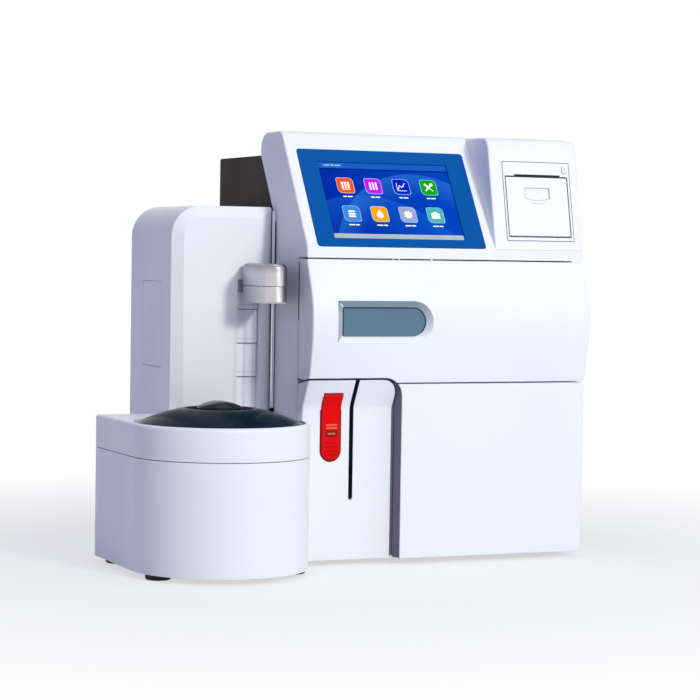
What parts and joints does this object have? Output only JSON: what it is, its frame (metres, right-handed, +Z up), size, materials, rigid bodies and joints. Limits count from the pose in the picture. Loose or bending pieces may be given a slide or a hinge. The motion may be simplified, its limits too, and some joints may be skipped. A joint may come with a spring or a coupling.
{
  "type": "electrolyte analyzer with autosampler",
  "caption": "Bench blood electrolyte analyzer with a sloped touch screen, paper printer, swing-up window door, sample column with lever, and a round autosampler with dome lid and lifting arm.",
  "frame": {"origin": "middle of the bounding box at the bottom of the feet", "axes": "+X to the right seen from the front, +Y to the back, +Z up"},
  "size_m": [0.5046, 0.3566, 0.4486],
  "materials": {
    "shell_white": "satin",
    "window_tint": "tinted",
    "lever_red": "satin",
    "bezel_blue": "satin",
    "screen_glass": "gloss",
    "frame_metal": "satin",
    "inner_grey": "matte",
    "pack_plastic": "satin",
    "electrode_clear": "gloss",
    "steel": "polished",
    "rubber_black": "matte",
    "paper": "matte paper",
    "chassis_paint": "textured",
    "inlet_black": "matte",
    "lid_smoke": "smoked",
    "disk_plastic": "satin",
    "arm_silver": "metallic"
  },
  "bodies": {
    "chassis": {"upper_housing": "shell_white", "base_plate": "chassis_paint", "rear_cover": "chassis_paint", "back_panel": "chassis_paint", "inner_frame": "frame_metal", "sample_column": "shell_white", "stat_lever_pin": "steel", "stat_probe_pin": "steel", "door_hinge_rod": "steel", "reagent_hinge_rod": "steel", "printer_hinge_rod": "steel", "screen_bezel": "bezel_blue", "touch_screen": "screen_glass", "display_module": "frame_metal", "printer_frame": "shell_white", "reagent_pack": "pack_plastic", "electrode_block": "inner_grey", "electrode_1": "electrode_clear", "electrode_2": "electrode_clear", "electrode_3": "electrode_clear", "electrode_4": "electrode_clear", "electrode_5": "electrode_clear", "pump_housing": "inner_grey", "power_inlet": "inlet_black", "unit_foot_1": "rubber_black", "unit_foot_2": "rubber_black", "unit_foot_3": "rubber_black", "unit_foot_4": "rubber_black", "sampler_base": "shell_white", "sampler_cover": "shell_white", "disk_motor": "chassis_paint", "tower_shell": "shell_white", "side_hatch": "shell_white", "lift_rod": "steel", "sampler_foot_1": "rubber_black", "sampler_foot_2": "rubber_black", "sampler_foot_3": "rubber_black", "sampler_foot_4": "rubber_black"},
    "front_door": {"front_door": "shell_white", "door_window": "window_tint"},
    "reagent_door": {"reagent_door": "shell_white"},
    "stat_lever": {"stat_lever": "lever_red"},
    "stat_probe": {"stat_probe_arm": "inner_grey", "stat_probe_tube": "steel"},
    "printer_door": {"printer_door": "shell_white"},
    "platen": {"platen_roller": "rubber_black"},
    "paper": {"paper_roll": "paper"},
    "feed_button": {"feed_button": "shell_white"},
    "power_switch": {"power_switch": "inlet_black"},
    "pump_rotor": {"pump_rotor": "inlet_black"},
    "sample_disk": {"sample_disk": "disk_plastic", "disk_shaft": "steel"},
    "lid": {"dome_lid": "lid_smoke", "lid_knob": "lid_smoke"},
    "arm": {"arm_upper": "arm_silver", "arm_lower": "arm_silver", "sampler_needle": "steel", "shutter_1": "shell_white"},
    "shutter_middle": {"shutter_2": "shell_white"},
    "shutter_lower": {"shutter_3": "shell_white"}
  },
  "joints": [
    {"name": "front_door_hinge", "type": "hinge", "parent": "chassis", "child": "front_door", "pos_m": [0.0923, -0.07967, 0.3127], "axis": [-1, 0, 0], "range_deg": [0, 68]},
    {"name": "reagent_door_hinge", "type": "hinge", "parent": "chassis", "child": "reagent_door", "pos_m": [0.2493, -0.06477, 0.0965], "axis": [0, 0, 1], "range_deg": [0, 85]},
    {"name": "stat_lever_pivot", "type": "hinge", "parent": "chassis", "child": "stat_lever", "pos_m": [-0.03575, -0.08053, 0.1761], "axis": [-1, 0, 0], "range_deg": [0, 45]},
    {"name": "stat_probe_pivot", "type": "hinge", "parent": "chassis", "child": "stat_probe", "pos_m": [-0.0125, -0.05627, 0.178], "axis": [-1, 0, 0], "range_deg": [0, 35]},
    {"name": "printer_door_hinge", "type": "hinge", "parent": "chassis", "child": "printer_door", "pos_m": [0.2013, -0.07706, 0.34514], "axis": [1, 0, 0], "range_deg": [0, 85]},
    {"name": "platen_spin", "type": "hinge", "parent": "printer_door", "child": "platen", "pos_m": [0.2013, -0.05922, 0.39774], "axis": [1, 0, 0], "continuous": true},
    {"name": "paper_spin", "type": "hinge", "parent": "chassis", "child": "paper", "pos_m": [0.2013, -0.04425, 0.35796], "axis": [1, 0, 0], "continuous": true},
    {"name": "feed_button_press", "type": "slide", "parent": "chassis", "child": "feed_button", "axis": [0, 0.9799, -0.1994], "range_m": [0, 0.001], "stiffness_N_per_m": 400},
    {"name": "power_switch_rock", "type": "hinge", "parent": "chassis", "child": "power_switch", "pos_m": [-0.0077, 0.17443, 0.0775], "axis": [1, 0, 0], "range_deg": [0, 16]},
    {"name": "pump_spin", "type": "hinge", "parent": "chassis", "child": "pump_rotor", "pos_m": [0.1683, -0.06527, 0.25], "axis": [0, 1, 0], "continuous": true},
    {"name": "sample_disk_spin", "type": "hinge", "parent": "chassis", "child": "sample_disk", "pos_m": [-0.1618, -0.08777, 0.1265], "axis": [0, 0, 1], "continuous": true},
    {"name": "lid_lift", "type": "slide", "parent": "chassis", "child": "lid", "axis": [0, 0, 1], "range_m": [0, 0.065]},
    {"name": "arm_lift", "type": "slide", "parent": "chassis", "child": "arm", "axis": [0, 0, -1], "range_m": [0, 0.038]},
    {"name": "shutter_middle_slide", "type": "slide", "parent": "chassis", "child": "shutter_middle", "axis": [0, 0, -1], "range_m": [0, 0.0254]},
    {"name": "shutter_lower_slide", "type": "slide", "parent": "chassis", "child": "shutter_lower", "axis": [0, 0, -1], "range_m": [0, 0.0127]}
  ],
  "couplings": [
    {"joint": "stat_probe_pivot", "follows": "stat_lever_pivot", "ratio": 0.7777},
    {"joint": "shutter_middle_slide", "follows": "arm_lift", "ratio": 0.6666},
    {"joint": "shutter_lower_slide", "follows": "arm_lift", "ratio": 0.3333}
  ]
}
